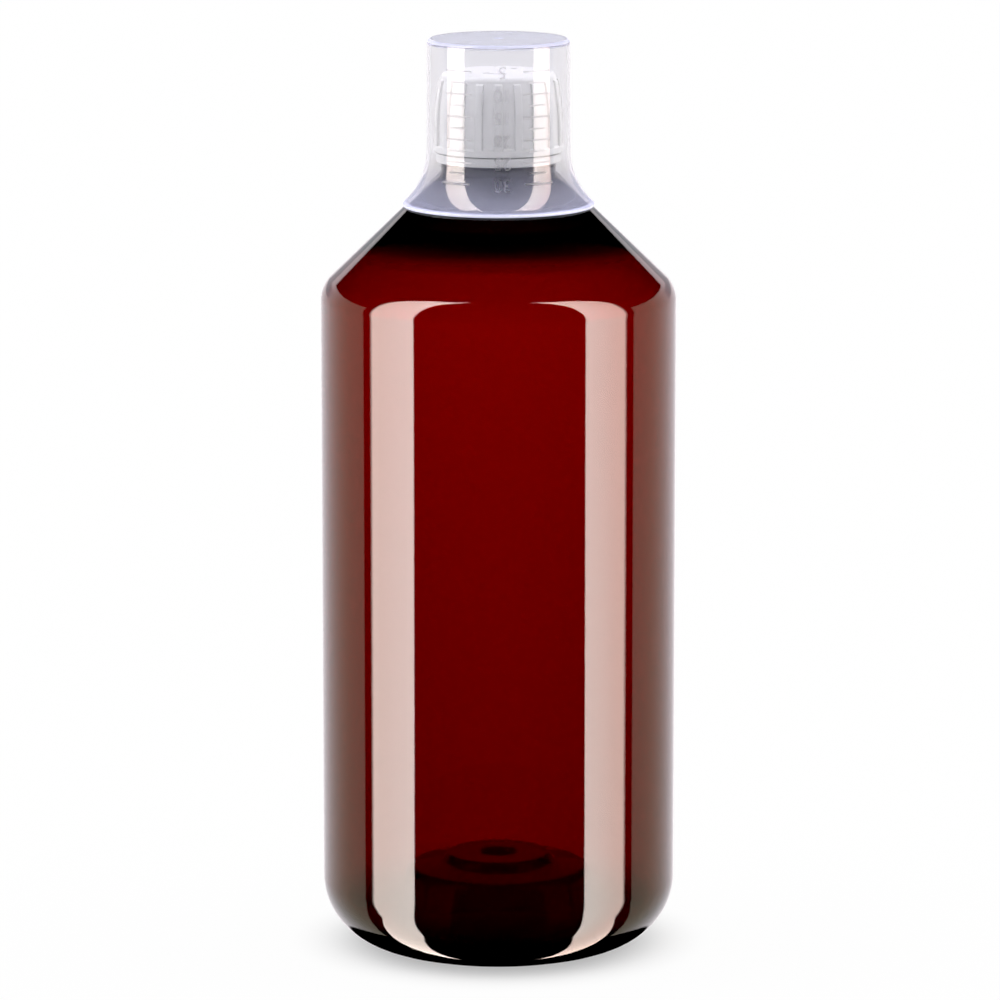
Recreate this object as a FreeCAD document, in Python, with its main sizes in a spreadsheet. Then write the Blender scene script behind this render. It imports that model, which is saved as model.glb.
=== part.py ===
import FreeCAD, Part

import math
import os

import Sketcher

# One-litre syrup bottle with a screw cap, its liner and tamper band, and a dosing cup
# turned over the cap. Millimetres, +Z up, origin at the centre of the foot.

# Driving dimensions: name, value, and what it is on the real piece
SIZES = [
    ("body_diameter", 88.0, "outside of the straight body"),
    ("bottle_height", 217.1, "floor to the neck's rim"),
    ("body_wall", 0.5, "blown wall of the straight body, at its top"),
    ("body_low_wall", 0.7, "the same wall above the heel, where it is thicker"),
    ("heel_radius", 17.0, "rounding from the body into the foot"),
    ("foot_wall", 3.2, "wall at the foot ring and the push-up's side"),
    ("foot_ring_width", 3.5, "flat ring that the bottle stands on, with its inner edge"),
    ("foot_ring_rounding", 1.6, "inner edge of the foot ring"),
    ("push_up_height", 19.0, "top of the hollow under the base"),
    ("push_up_diameter", 22.0, "flat top of that hollow"),
    ("push_up_rounding", 2.0, "edge of the hollow's top"),
    ("push_up_edge_inset", 3.3, "top of the push-up's steep side, in from the foot ring"),
    ("push_up_edge_drop", 3.0, "the same edge, below the hollow's flat top"),
    ("push_up_edge_rounding", 3.0, "rounding of that edge"),
    ("push_up_wall", 3.0, "wall over that edge"),
    ("gate_disc_overhang", 1.7, "thick unblown disc's edge past the hollow's flat top"),
    ("gate_disc_slope", 1.5, "width of the disc's sloped side"),
    ("gate_disc_thickness", 3.4, "wall between the hollow and the bottle's inside"),
    ("gate_disc_rounding", 1.5, "edge of the disc, seen from inside"),
    ("gate_boss_diameter", 13.0, "boss under the disc, where the preform was filled"),
    ("gate_boss_depth", 5.0, "how far the boss hangs below the hollow's top"),
    ("gate_boss_rounding", 1.5, "lower edge of the boss"),
    ("gate_boss_wall", 2.4, "wall of the boss, which is hollow from inside"),
    ("gate_dimple_rounding", 1.0, "edges of the hollow in the boss"),
    ("shoulder_height", 28.8, "shoulder cone, from the body's edge up to the neck ring"),
    ("shoulder_rounding", 7.2, "rounding between body and shoulder"),
    ("shoulder_thin_reach", 12.4, "thin wall of the cone, in from the body's edge"),
    ("shoulder_ramp_reach", 7.5, "ramp inside, from the thin wall to the unblown thick one"),
    ("shoulder_thin_drop", 0.83, "thin wall of the cone, measured upright"),
    ("shoulder_thick_drop", 3.96, "thick wall of the cone, measured upright"),
    ("shoulder_thin_rounding", 45.0, "inside, where the ramp starts"),
    ("shoulder_thick_rounding", 4.0, "inside, where the ramp ends"),
    ("neck_throat_rounding", 4.0, "rounding where the bore opens into the shoulder"),
    ("neck_diameter", 25.0, "neck between the threads"),
    ("neck_wall", 1.75, "wall of the neck"),
    ("rim_rounding", 0.4, "edges of the rim"),
    ("neck_ring_reach", 1.7, "ring that the bottle is carried by, past the neck"),
    ("neck_ring_thickness", 1.6, "height of that ring"),
    ("bead_cap_gap", 0.25, "bead that holds the tamper band down, inside the cap's mouth"),
    ("bead_gap", 3.2, "neck ring to bead, where the tamper band sits"),
    ("bead_thickness", 0.45, "straight part of the bead"),
    ("bead_slope", 1.0, "height of the slope above the bead"),
    ("thread_depth", 1.2, "how far the neck's thread stands out"),
    ("thread_pitch", 3.0, "rise in one turn"),
    ("thread_turns", 1.5, "length of each thread in turns"),
    ("thread_bead_gap", 3.35, "bead to the middle of the neck thread's lower end"),
    ("thread_rim_gap", 8.0, "middle of the neck thread's upper end to the rim"),
    ("thread_root_width", 1.9, "height of the neck's thread at its root"),
    ("thread_crest_width", 0.9, "height of the neck's thread at its crest"),
    ("thread_clearance", 0.3, "radial gap between cap and neck threads"),
    ("thread_root_gap", 0.3, "above and below the cap's thread at its root"),
    ("thread_crest_gap", 0.2, "above and below the cap's thread at its crest"),
    ("thread_bite", 0.3, "how far a thread's foot is sunk in its wall"),
    ("cap_bead_lift", 0.2, "cap's lower edge above the bead's"),
    ("cap_wall", 1.4, "wall between the ribs, over the thread's groove"),
    ("cap_taper", 1.2, "how far the wall leans in at its top"),
    ("cap_top_thickness", 1.3, "cap's flat top"),
    ("cap_edge_rounding", 1.2, "outer edge of the top"),
    ("cap_lower_edge_rounding", 0.4, "outer edge of the collar"),
    ("cap_mouth_chamfer", 0.4, "lead-in at the cap's mouth"),
    ("cap_pocket_depth", 2.8, "straight pocket that holds the liner"),
    ("cap_pocket_slope", 2.0, "height of the slope between pocket and thread"),
    ("collar_height", 2.1, "plain collar below the ribs"),
    ("collar_slope", 0.5, "height of the slope on top of the collar"),
    ("rib_count", 20, "grip ribs round the cap"),
    ("rib_angle", 7.2, "width of one rib, in degrees"),
    ("rib_depth", 0.65, "how far a rib stands out of the wall"),
    ("rib_straight", 6.0, "height of the upright part above the lower edge"),
    ("rib_top_drop", 1.4, "cap's top to the ribs' upper ends"),
    ("rib_top_slope", 0.25, "slope on a rib's upper end"),
    ("rib_bite", 0.4, "how far a rib's foot is sunk in the wall"),
    ("liner_overhang", 0.75, "foam disc that seals the rim, past the neck"),
    ("liner_thickness", 1.0, "foam disc"),
    ("liner_side_gap", 0.15, "liner to the wall of its pocket"),
    ("liner_clearance", 0.05, "gap from the liner to the rim and to the cap's top"),
    ("band_gap", 0.25, "cap's lower edge to the tamper band"),
    ("band_ring_gap", 0.9, "neck ring to the tamper band"),
    ("band_bead_gap", 0.75, "radial gap between the band and the bead"),
    ("band_wall", 0.9, "wall of the tamper band"),
    ("band_edge_rounding", 0.3, "lower outer edge of the band"),
    ("flap_neck_gap", 0.65, "inner flap's tip to the neck, under the bead"),
    ("flap_drop", 0.3, "gap between the flap and the bead"),
    ("flap_thickness", 0.6, "height of the flap's tip"),
    ("bridge_count", 8, "broken bridges on top of the band"),
    ("bridge_angle", 3.0, "width of one bridge, in degrees"),
    ("bridge_depth", 0.5, "bridge from inside to outside"),
    ("bridge_gap", 0.05, "bridge to the cap's lower edge"),
    ("cup_height", 41.6, "lip to closed end"),
    ("cup_cap_gap", 0.75, "radial gap between the cap and the cup's closed end"),
    ("cup_draft", 0.15, "how much wider the cup is where its flare starts"),
    ("cup_lip_reach", 6.2, "how far the lip stands out past the flare's start"),
    ("cup_flare_radius", 17.7, "flare between waist and lip"),
    ("cup_wall", 0.8, "wall of the cup"),
    ("cup_end_thickness", 0.9, "closed end of the cup"),
    ("cup_edge_rounding", 1.1, "outer edge of the closed end"),
    ("cup_inner_rounding", 0.6, "inner edge of the closed end"),
    ("cup_seat_gap", 0.05, "flare to shoulder cone, square to both"),
    ("cup_lip_rounding_share", 0.6, "radius of the lip's edge, as a share of the wall"),
]

SHEET_NAME = "Sizes"


class Measure:
    """A size kept twice: as a number, and as the sheet expression that gives it."""

    def __init__(self, value, text):
        self.value = value
        self.text = text

    def joined(self, sign, other, value):
        return Measure(value, "({} {} {})".format(self.text, sign, text_of(other)))

    def __add__(self, other):
        return self.joined("+", other, self.value + value_of(other))

    def __sub__(self, other):
        return self.joined("-", other, self.value - value_of(other))

    def __mul__(self, other):
        return self.joined("*", other, self.value * value_of(other))

    def __truediv__(self, other):
        return self.joined("/", other, self.value / value_of(other))


def value_of(size):
    return size.value if isinstance(size, Measure) else size


def text_of(size):
    return size.text if isinstance(size, Measure) else repr(size)


def root(size):
    """The square root of a measure."""
    return Measure(math.sqrt(size.value), "sqrt({})".format(size.text))


def upright_arc_radius(run, rise):
    """Radius of an arc that starts upright and covers this run over this rise."""
    return (run * run + rise * rise) / (run * 2)


def fill_sheet(document):
    sheet = document.addObject("Spreadsheet::Sheet", SHEET_NAME)
    for row, (name, value, meaning) in enumerate(SIZES, start=1):
        sheet.set("A{}".format(row), meaning)
        sheet.set("B{}".format(row), str(value))
        sheet.setAlias("B{}".format(row), name)
    document.recompute()
    return sheet


doc = FreeCAD.newDocument("SyrupBottle")
sizes = fill_sheet(doc)


def size(name):
    return Measure(float(sizes.get(name)), "{}.{}".format(SHEET_NAME, name))


class Corner:
    """One corner of an outline. rounding is its radius. bow is the radius of the arc
    from this corner to the next, and bow_side is 1 when that arc turns left."""

    def __init__(self, across, up, rounding=None, bow=None, bow_side=1):
        self.across = across
        self.up = up
        self.rounding = rounding
        self.bow = bow
        self.bow_side = bow_side
        self.point = FreeCAD.Vector(value_of(across), value_of(up), 0)


def direction(start, end):
    return (end - start).normalize()


def setback(before, corner, after):
    """Length of each side that a corner's rounding takes."""
    if corner.rounding is None:
        return 0.0
    inward = direction(before.point, corner.point)
    outward = direction(corner.point, after.point)
    turn = inward.getAngle(outward)
    return corner.rounding.value * math.tan(turn / 2)


def arc_through(start, end, radius, side):
    """Arc from start to end that turns left (side 1) or right (side -1)."""
    half = (end - start) / 2
    middle = start + half
    left = FreeCAD.Vector(-half.y, half.x, 0).normalize()
    reach = math.sqrt(max(radius * radius - half.Length ** 2, 0.0))
    centre = middle + left * (reach * side)
    first, last = (start, end) if side > 0 else (end, start)
    first_angle = math.atan2(first.y - centre.y, first.x - centre.x)
    last_angle = math.atan2(last.y - centre.y, last.x - centre.x)
    if last_angle < first_angle:
        last_angle += 2 * math.pi
    circle = Part.Circle(centre, FreeCAD.Vector(0, 0, 1), radius)
    return Part.ArcOfCircle(circle, first_angle, last_angle)


def bind(sketch, constraint, size_value):
    """Add a dimension and tie it to the sheet."""
    index = sketch.addConstraint(constraint)
    if isinstance(size_value, Measure):
        sketch.setExpression("Constraints[{}]".format(index), size_value.text)


def pin_point(sketch, point_id, corner):
    """Hold a construction point at a corner's distance from the axis and the floor."""
    if value_of(corner.across) == 0:
        sketch.addConstraint(Sketcher.Constraint("PointOnObject", point_id, 1, -2))
    else:
        distance = Sketcher.Constraint("DistanceX", -1, 1, point_id, 1, value_of(corner.across))
        bind(sketch, distance, corner.across)
    if value_of(corner.up) == 0:
        sketch.addConstraint(Sketcher.Constraint("PointOnObject", point_id, 1, -1))
    else:
        distance = Sketcher.Constraint("DistanceY", -1, 1, point_id, 1, value_of(corner.up))
        bind(sketch, distance, corner.up)


def origin_feature(body, role):
    for feature in body.Origin.OriginFeatures:
        if feature.Role == role:
            return feature
    raise RuntimeError("no " + role + " in " + body.Label)


def outline(body, name, corners):
    """Closed outline in the body's XZ plane: across is the radius, up is the height."""
    sketch = body.newObject("Sketcher::SketchObject", name)
    sketch.AttachmentSupport = (origin_feature(body, "XZ_Plane"), [""])
    sketch.MapMode = "FlatFace"
    count = len(corners)
    points = []
    for corner in corners:
        point_id = sketch.addGeometry(Part.Point(corner.point), True)
        pin_point(sketch, point_id, corner)
        points.append(point_id)
    # Each side is kept with the end numbers that meet its first and second corner
    sides = []
    for index, corner in enumerate(corners):
        following = corners[(index + 1) % count]
        if corner.bow is not None:
            curve = arc_through(corner.point, following.point, corner.bow.value, corner.bow_side)
            side_id = sketch.addGeometry(curve, False)
            radius = Sketcher.Constraint("Radius", side_id, corner.bow.value)
            bind(sketch, radius, corner.bow)
            ends = (1, 2) if corner.bow_side > 0 else (2, 1)
        else:
            along = direction(corner.point, following.point)
            start = corner.point + along * setback(corners[index - 1], corner, following)
            beyond = corners[(index + 2) % count]
            end = following.point - along * setback(corner, following, beyond)
            side_id = sketch.addGeometry(Part.LineSegment(start, end), False)
            ends = (1, 2)
        sides.append((side_id, ends))
    for index, corner in enumerate(corners):
        before_id, before_ends = sides[index - 1]
        after_id, after_ends = sides[index]
        point_id = points[index]
        if corner.rounding is None:
            for side_id, end in ((before_id, before_ends[1]), (after_id, after_ends[0])):
                sketch.addConstraint(Sketcher.Constraint("Coincident", side_id, end, point_id, 1))
            continue
        round_corner(sketch, corners, index, before_id, after_id, point_id)
    doc.recompute()
    return sketch


def round_corner(sketch, corners, index, before_id, after_id, point_id):
    """Round one corner between two straight sides, keeping the corner as a point."""
    before = corners[index - 1]
    corner = corners[index]
    after = corners[(index + 1) % len(corners)]
    inward = direction(before.point, corner.point)
    outward = direction(corner.point, after.point)
    length = setback(before, corner, after)
    side = 1 if inward.cross(outward).z > 0 else -1
    start = corner.point - inward * length
    end = corner.point + outward * length
    arc_id = sketch.addGeometry(arc_through(start, end, corner.rounding.value, side), False)
    first, last = (1, 2) if side > 0 else (2, 1)
    sketch.addConstraint(Sketcher.Constraint("Tangent", before_id, 2, arc_id, first))
    sketch.addConstraint(Sketcher.Constraint("Tangent", after_id, 1, arc_id, last))
    sketch.addConstraint(Sketcher.Constraint("PointOnObject", point_id, 1, before_id))
    sketch.addConstraint(Sketcher.Constraint("PointOnObject", point_id, 1, after_id))
    radius = Sketcher.Constraint("Radius", arc_id, corner.rounding.value)
    bind(sketch, radius, corner.rounding)


def new_body(label):
    body = doc.addObject("PartDesign::Body", label)
    body.Label = label
    return body


def revolve(body, sketch, name, angle=None):
    """Turn an outline round the upright axis, by a full turn or by a centred angle."""
    turned = body.newObject("PartDesign::Revolution", name)
    turned.Profile = sketch
    turned.ReferenceAxis = (sketch, ["V_Axis"])
    if angle is None:
        turned.Angle = 360.0
    else:
        turned.Midplane = True
        turned.setExpression("Angle", angle.text)
    doc.recompute()
    return turned


def repeat_round(body, feature, name, number):
    """Copy a feature evenly round the upright axis."""
    pattern = body.newObject("PartDesign::PolarPattern", name)
    pattern.Originals = [feature]
    pattern.Axis = (origin_feature(body, "Z_Axis"), [""])
    pattern.Angle = 360.0
    pattern.setExpression("Occurrences", number.text)
    body.Tip = pattern
    doc.recompute()
    return pattern


def add_thread(body, sketch, name, pitch, turns):
    """Sweep a thread's section up a right-hand helix round the upright axis."""
    thread = body.newObject("PartDesign::AdditiveHelix", name)
    thread.Profile = sketch
    thread.ReferenceAxis = (sketch, ["V_Axis"])
    thread.Mode = "pitch-turns-angle"
    thread.setExpression("Pitch", pitch.text)
    thread.setExpression("Turns", turns.text)
    doc.recompute()
    return thread


# Heights and radii that more than one piece uses, from the rim down and the neck out
BODY_RADIUS = size("body_diameter") / 2
RIM_UP = size("bottle_height")
THREAD_UP = RIM_UP - size("thread_rim_gap") - size("thread_pitch") * size("thread_turns")
BEAD_SLOPE_UP = THREAD_UP - size("thread_bead_gap")
BEAD_TOP_UP = BEAD_SLOPE_UP - size("bead_slope")
BEAD_UP = BEAD_TOP_UP - size("bead_thickness")
RING_TOP_UP = BEAD_UP - size("bead_gap")
CONE_TOP_UP = RING_TOP_UP - size("neck_ring_thickness")
SHOULDER_UP = CONE_TOP_UP - size("shoulder_height")
NECK_RADIUS = size("neck_diameter") / 2
RING_RADIUS = NECK_RADIUS + size("neck_ring_reach")
THREAD_RADIUS = NECK_RADIUS + size("thread_depth")
CAP_BORE_RADIUS = THREAD_RADIUS + size("thread_clearance")
BEAD_RADIUS = CAP_BORE_RADIUS - size("bead_cap_gap")
CAP_WALL_RADIUS = CAP_BORE_RADIUS + size("cap_wall")
CAP_RADIUS = CAP_WALL_RADIUS + size("rib_depth")
CAP_TOP_RADIUS = CAP_WALL_RADIUS - size("cap_taper")
LINER_RADIUS = NECK_RADIUS + size("liner_overhang")
CAP_CEILING_UP = RIM_UP + size("liner_clearance") * 2 + size("liner_thickness")
CAP_TOP_UP = CAP_CEILING_UP + size("cap_top_thickness")
CAP_LOW_UP = BEAD_UP + size("cap_bead_lift")
RIB_TOP_UP = CAP_TOP_UP - size("rib_top_drop")
RIB_BEND_UP = CAP_LOW_UP + size("rib_straight")


def make_bottle():
    """Blown bottle: one wall from the pushed-up base to the threaded neck."""
    body = new_body("bottle")
    wall = size("body_wall")
    foot_wall = size("foot_wall")
    foot_inner = BODY_RADIUS - size("heel_radius") - size("foot_ring_width")
    edge_rounding = size("push_up_edge_rounding")
    edge_wall = size("push_up_wall")
    edge_radius = foot_inner - size("push_up_edge_inset")
    hollow_top = size("push_up_height")
    hollow_radius = size("push_up_diameter") / 2
    edge_up = hollow_top - size("push_up_edge_drop")
    disc_top = hollow_top + size("gate_disc_thickness")
    disc_radius = hollow_radius + size("gate_disc_overhang")
    boss_radius = size("gate_boss_diameter") / 2
    boss_low = hollow_top - size("gate_boss_depth")
    dimple_radius = boss_radius - size("gate_boss_wall")
    dimple_low = boss_low + size("gate_boss_wall")
    dimple_rounding = size("gate_dimple_rounding")
    bore_radius = NECK_RADIUS - size("neck_wall")
    rim_rounding = size("rim_rounding")
    inner_radius = BODY_RADIUS - wall
    inner_low_radius = BODY_RADIUS - size("body_low_wall")
    shoulder_rounding = size("shoulder_rounding")
    # The inner wall drops below the cone's outside, a little at first and more past the ramp
    cone_rise = size("shoulder_height") / (BODY_RADIUS - RING_RADIUS)
    thin_radius = BODY_RADIUS - size("shoulder_thin_reach")
    thin_up = SHOULDER_UP + size("shoulder_thin_reach") * cone_rise - size("shoulder_thin_drop")
    thick_radius = thin_radius - size("shoulder_ramp_reach")
    thick_drop = size("shoulder_thick_drop")
    thick_up = SHOULDER_UP + (BODY_RADIUS - thick_radius) * cone_rise - thick_drop
    throat_up = SHOULDER_UP + (BODY_RADIUS - bore_radius) * cone_rise - thick_drop
    section = outline(body, "bottle_section", [
        Corner(0, boss_low),
        Corner(boss_radius, boss_low, rounding=size("gate_boss_rounding")),
        Corner(boss_radius, hollow_top),
        Corner(hollow_radius, hollow_top, rounding=size("push_up_rounding")),
        Corner(edge_radius, edge_up, rounding=edge_rounding),
        Corner(foot_inner, 0, rounding=size("foot_ring_rounding")),
        Corner(BODY_RADIUS, 0, rounding=size("heel_radius")),
        Corner(BODY_RADIUS, SHOULDER_UP, rounding=shoulder_rounding),
        Corner(RING_RADIUS, CONE_TOP_UP),
        Corner(RING_RADIUS, RING_TOP_UP),
        Corner(NECK_RADIUS, RING_TOP_UP),
        Corner(NECK_RADIUS, BEAD_UP),
        Corner(BEAD_RADIUS, BEAD_UP),
        Corner(BEAD_RADIUS, BEAD_TOP_UP),
        Corner(NECK_RADIUS, BEAD_SLOPE_UP),
        Corner(NECK_RADIUS, RIM_UP, rounding=rim_rounding),
        Corner(bore_radius, RIM_UP, rounding=rim_rounding),
        Corner(bore_radius, throat_up, rounding=size("neck_throat_rounding")),
        Corner(thick_radius, thick_up, rounding=size("shoulder_thick_rounding")),
        Corner(thin_radius, thin_up, rounding=size("shoulder_thin_rounding")),
        Corner(inner_radius, SHOULDER_UP - wall / 2, rounding=shoulder_rounding - wall),
        Corner(inner_low_radius, foot_wall, rounding=size("heel_radius") - foot_wall),
        Corner(foot_inner + foot_wall, foot_wall, rounding=size("foot_ring_rounding")),
        Corner(edge_radius + edge_wall, edge_up + edge_wall, rounding=edge_rounding),
        Corner(disc_radius + size("gate_disc_slope"), hollow_top + edge_wall / 2),
        Corner(disc_radius, disc_top, rounding=size("gate_disc_rounding")),
        Corner(dimple_radius, disc_top, rounding=dimple_rounding),
        Corner(dimple_radius, dimple_low, rounding=dimple_rounding),
        Corner(0, dimple_low),
    ])
    revolve(body, section, "bottle_wall")
    foot = NECK_RADIUS - size("thread_bite")
    half_root = size("thread_root_width") / 2
    half_crest = size("thread_crest_width") / 2
    ridge = outline(body, "neck_thread_section", [
        Corner(foot, THREAD_UP - half_root),
        Corner(THREAD_RADIUS, THREAD_UP - half_crest),
        Corner(THREAD_RADIUS, THREAD_UP + half_crest),
        Corner(foot, THREAD_UP + half_root),
    ])
    add_thread(body, ridge, "neck_thread", size("thread_pitch"), size("thread_turns"))
    return body


def make_screw_cap():
    """Ribbed cap with a plain collar, a pocket for its liner and an inside thread."""
    body = new_body("screw_cap")
    chamfer = size("cap_mouth_chamfer")
    collar_top = CAP_LOW_UP + size("collar_height")
    collar_edge = collar_top - size("collar_slope")
    pocket_radius = LINER_RADIUS + size("liner_side_gap")
    pocket_low = CAP_CEILING_UP - size("cap_pocket_depth")
    bend_radius = upright_arc_radius(CAP_WALL_RADIUS - CAP_TOP_RADIUS, RIB_TOP_UP - RIB_BEND_UP)
    section = outline(body, "cap_section", [
        Corner(CAP_BORE_RADIUS, CAP_LOW_UP + chamfer),
        Corner(CAP_BORE_RADIUS + chamfer, CAP_LOW_UP),
        Corner(CAP_RADIUS, CAP_LOW_UP, rounding=size("cap_lower_edge_rounding")),
        Corner(CAP_RADIUS, collar_edge),
        Corner(CAP_WALL_RADIUS, collar_top),
        Corner(CAP_WALL_RADIUS, RIB_BEND_UP, bow=bend_radius),
        Corner(CAP_TOP_RADIUS, RIB_TOP_UP),
        Corner(CAP_TOP_RADIUS, CAP_TOP_UP, rounding=size("cap_edge_rounding")),
        Corner(0, CAP_TOP_UP),
        Corner(0, CAP_CEILING_UP),
        Corner(pocket_radius, CAP_CEILING_UP),
        Corner(pocket_radius, pocket_low),
        Corner(CAP_BORE_RADIUS, pocket_low - size("cap_pocket_slope")),
    ])
    revolve(body, section, "cap_wall")
    half_pitch = size("thread_pitch") / 2
    half_root = half_pitch - size("thread_crest_width") / 2 - size("thread_root_gap")
    half_crest = half_pitch - size("thread_root_width") / 2 - size("thread_crest_gap")
    foot = CAP_BORE_RADIUS + size("thread_bite")
    crest = NECK_RADIUS + size("thread_clearance")
    middle = THREAD_UP - half_pitch
    ridge = outline(body, "cap_thread_section", [
        Corner(foot, middle - half_root),
        Corner(foot, middle + half_root),
        Corner(crest, middle + half_crest),
        Corner(crest, middle - half_crest),
    ])
    add_thread(body, ridge, "cap_thread", size("thread_pitch"), size("thread_turns"))
    rib_end = RIB_TOP_UP - size("rib_top_slope")
    rib_top_radius = CAP_TOP_RADIUS + size("rib_depth")
    rib_bend_radius = upright_arc_radius(CAP_RADIUS - rib_top_radius, rib_end - RIB_BEND_UP)
    bite = size("rib_bite")
    rib_section = outline(body, "rib_section", [
        Corner(CAP_WALL_RADIUS - bite, collar_edge),
        Corner(CAP_RADIUS, collar_edge),
        Corner(CAP_RADIUS, RIB_BEND_UP, bow=rib_bend_radius),
        Corner(rib_top_radius, rib_end),
        Corner(CAP_TOP_RADIUS - bite, RIB_TOP_UP),
        Corner(CAP_WALL_RADIUS - bite, RIB_BEND_UP),
    ])
    rib = revolve(body, rib_section, "rib", angle=size("rib_angle"))
    repeat_round(body, rib, "ribs", size("rib_count"))
    return body


def make_cap_liner():
    """Foam disc between the cap's top and the rim."""
    body = new_body("cap_liner")
    low = RIM_UP + size("liner_clearance")
    top = low + size("liner_thickness")
    section = outline(body, "liner_section", [
        Corner(0, low),
        Corner(LINER_RADIUS, low),
        Corner(LINER_RADIUS, top),
        Corner(0, top),
    ])
    revolve(body, section, "liner_disc")
    return body


def make_tamper_band():
    """Loose ring that stays on the neck, held under the bead by its inner flap."""
    body = new_body("tamper_band")
    inner_radius = BEAD_RADIUS + size("band_bead_gap")
    radius = inner_radius + size("band_wall")
    top = CAP_LOW_UP - size("band_gap")
    low = RING_TOP_UP + size("band_ring_gap")
    flap_top = BEAD_UP - size("flap_drop")
    tip_radius = NECK_RADIUS + size("flap_neck_gap")
    tip_low = flap_top - size("flap_thickness")
    section = outline(body, "band_section", [
        Corner(inner_radius, low),
        Corner(radius, low, rounding=size("band_edge_rounding")),
        Corner(radius, top),
        Corner(inner_radius, top),
        Corner(inner_radius, flap_top),
        Corner(tip_radius, flap_top),
        Corner(tip_radius, tip_low),
    ])
    revolve(body, section, "band_ring")
    bridge_inner = inner_radius + (size("band_wall") - size("bridge_depth")) / 2
    bridge_outer = bridge_inner + size("bridge_depth")
    bridge_top = CAP_LOW_UP - size("bridge_gap")
    bridge_low = top - size("band_gap")
    bridge_section = outline(body, "bridge_section", [
        Corner(bridge_inner, bridge_low),
        Corner(bridge_outer, bridge_low),
        Corner(bridge_outer, bridge_top),
        Corner(bridge_inner, bridge_top),
    ])
    bridge = revolve(body, bridge_section, "bridge", angle=size("bridge_angle"))
    repeat_round(body, bridge, "bridges", size("bridge_count"))
    return body


def make_dosing_cup():
    """Measuring cup, upside down over the cap, its flared lip on the shoulder cone."""
    body = new_body("dosing_cup")
    wall = size("cup_wall")
    flare = size("cup_flare_radius")
    end_radius = CAP_RADIUS + size("cup_cap_gap") + wall
    waist_radius = end_radius + size("cup_draft")
    lip_radius = waist_radius + size("cup_lip_reach")
    flare_middle = waist_radius + flare
    one = Measure(1.0, "1")
    # Cosine and sine of the angle that the flare turns through on its way to the lip
    cosine = (flare - size("cup_lip_reach")) / flare
    sine = root(one - cosine * cosine)
    # The flare's inside rests on the shoulder cone, with the seat gap between them
    cone_rise = size("shoulder_height") / (BODY_RADIUS - RING_RADIUS)
    cone_up = SHOULDER_UP + (BODY_RADIUS - flare_middle) * cone_rise
    stretch = root(one + cone_rise * cone_rise)
    waist_up = cone_up + (flare + wall + size("cup_seat_gap")) * stretch
    lip_up = waist_up - flare * sine
    lip_inner_radius = flare_middle - (flare + wall) * cosine
    lip_inner_up = waist_up - (flare + wall) * sine
    end_up = lip_inner_up + size("cup_height")
    floor_up = end_up - size("cup_end_thickness")
    section = outline(body, "cup_section", [
        Corner(lip_radius, lip_up, bow=flare, bow_side=-1),
        Corner(waist_radius, waist_up),
        Corner(end_radius, end_up, rounding=size("cup_edge_rounding")),
        Corner(0, end_up),
        Corner(0, floor_up),
        Corner(end_radius - wall, floor_up, rounding=size("cup_inner_rounding")),
        Corner(waist_radius - wall, waist_up, bow=flare + wall),
        Corner(lip_inner_radius, lip_inner_up, bow=wall * size("cup_lip_rounding_share")),
    ])
    revolve(body, section, "cup_wall_ring")
    return body


def check_document():
    """Stop if any object failed to rebuild."""
    for item in doc.Objects:
        for state in item.State:
            if state in ("Invalid", "Error"):
                raise RuntimeError("{} is {}".format(item.Name, state))
        if item.TypeId == "Sketcher::SketchObject" and not item.FullyConstrained:
            print("not fully constrained:", item.Name)


def export(pieces):
    """Write one STEP file for each piece, named after its label."""
    os.makedirs("parts", exist_ok=True)
    for piece in pieces:
        shape = piece.Shape
        if shape.isNull() or not shape.isValid() or len(shape.Solids) != 1:
            raise RuntimeError("bad shape: " + piece.Label)
        box = shape.optimalBoundingBox(False)
        print("{:12s} volume {:9.1f} mm3, z {:.2f} to {:.2f}, radius {:.2f}".format(
            piece.Label, shape.Volume, box.ZMin, box.ZMax, box.XMax))
    for piece in pieces:
        piece.Shape.exportStep("parts/{}.step".format(piece.Label))


pieces = [
    make_bottle(),
    make_screw_cap(),
    make_cap_liner(),
    make_tamper_band(),
    make_dosing_cup(),
]
doc.recompute()
check_document()
export(pieces)
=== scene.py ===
# %% [markdown]
# A one-litre syrup bottle: clear amber plastic, a white screw cap with its tamper band, and
# a milky measuring cup turned over the cap. The CAD model gives every size, and this lesson
# dresses it. The bottle, the cup and the cap are made again as smooth turned shapes, because
# clear plastic shows every facet of a coarse mesh, and a rib catches light on its rounded
# edges. The band and the liner keep their CAD shapes and get a finish.

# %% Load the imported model
import math

import bmesh
import bpy
from mathutils import Matrix, Vector


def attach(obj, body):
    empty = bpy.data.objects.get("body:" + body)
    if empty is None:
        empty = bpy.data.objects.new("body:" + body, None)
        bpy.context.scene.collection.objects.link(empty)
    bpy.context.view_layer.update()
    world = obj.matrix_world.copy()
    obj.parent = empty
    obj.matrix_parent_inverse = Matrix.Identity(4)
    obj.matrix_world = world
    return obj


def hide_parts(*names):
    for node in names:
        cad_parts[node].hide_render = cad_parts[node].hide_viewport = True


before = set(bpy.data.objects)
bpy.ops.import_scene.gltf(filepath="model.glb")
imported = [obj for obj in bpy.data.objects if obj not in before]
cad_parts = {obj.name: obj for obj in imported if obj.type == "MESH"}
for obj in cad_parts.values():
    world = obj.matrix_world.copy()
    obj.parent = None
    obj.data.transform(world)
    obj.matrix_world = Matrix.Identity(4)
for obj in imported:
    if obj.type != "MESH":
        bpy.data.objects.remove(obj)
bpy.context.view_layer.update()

# %% [markdown]
# The photo was taken with a long lens from about a metre and a half away, looking down a
# little. The camera is placed first, so that every test render can be laid over the photo.

# %% Camera
CAMERA_DISTANCE = 1.5
CAMERA_TILT = math.radians(10.5)
AIM_HEIGHT = 0.1123
AIM_SIDE = 0.00037
LENS = 216.6
SENSOR_WIDTH = 36.0

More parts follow.
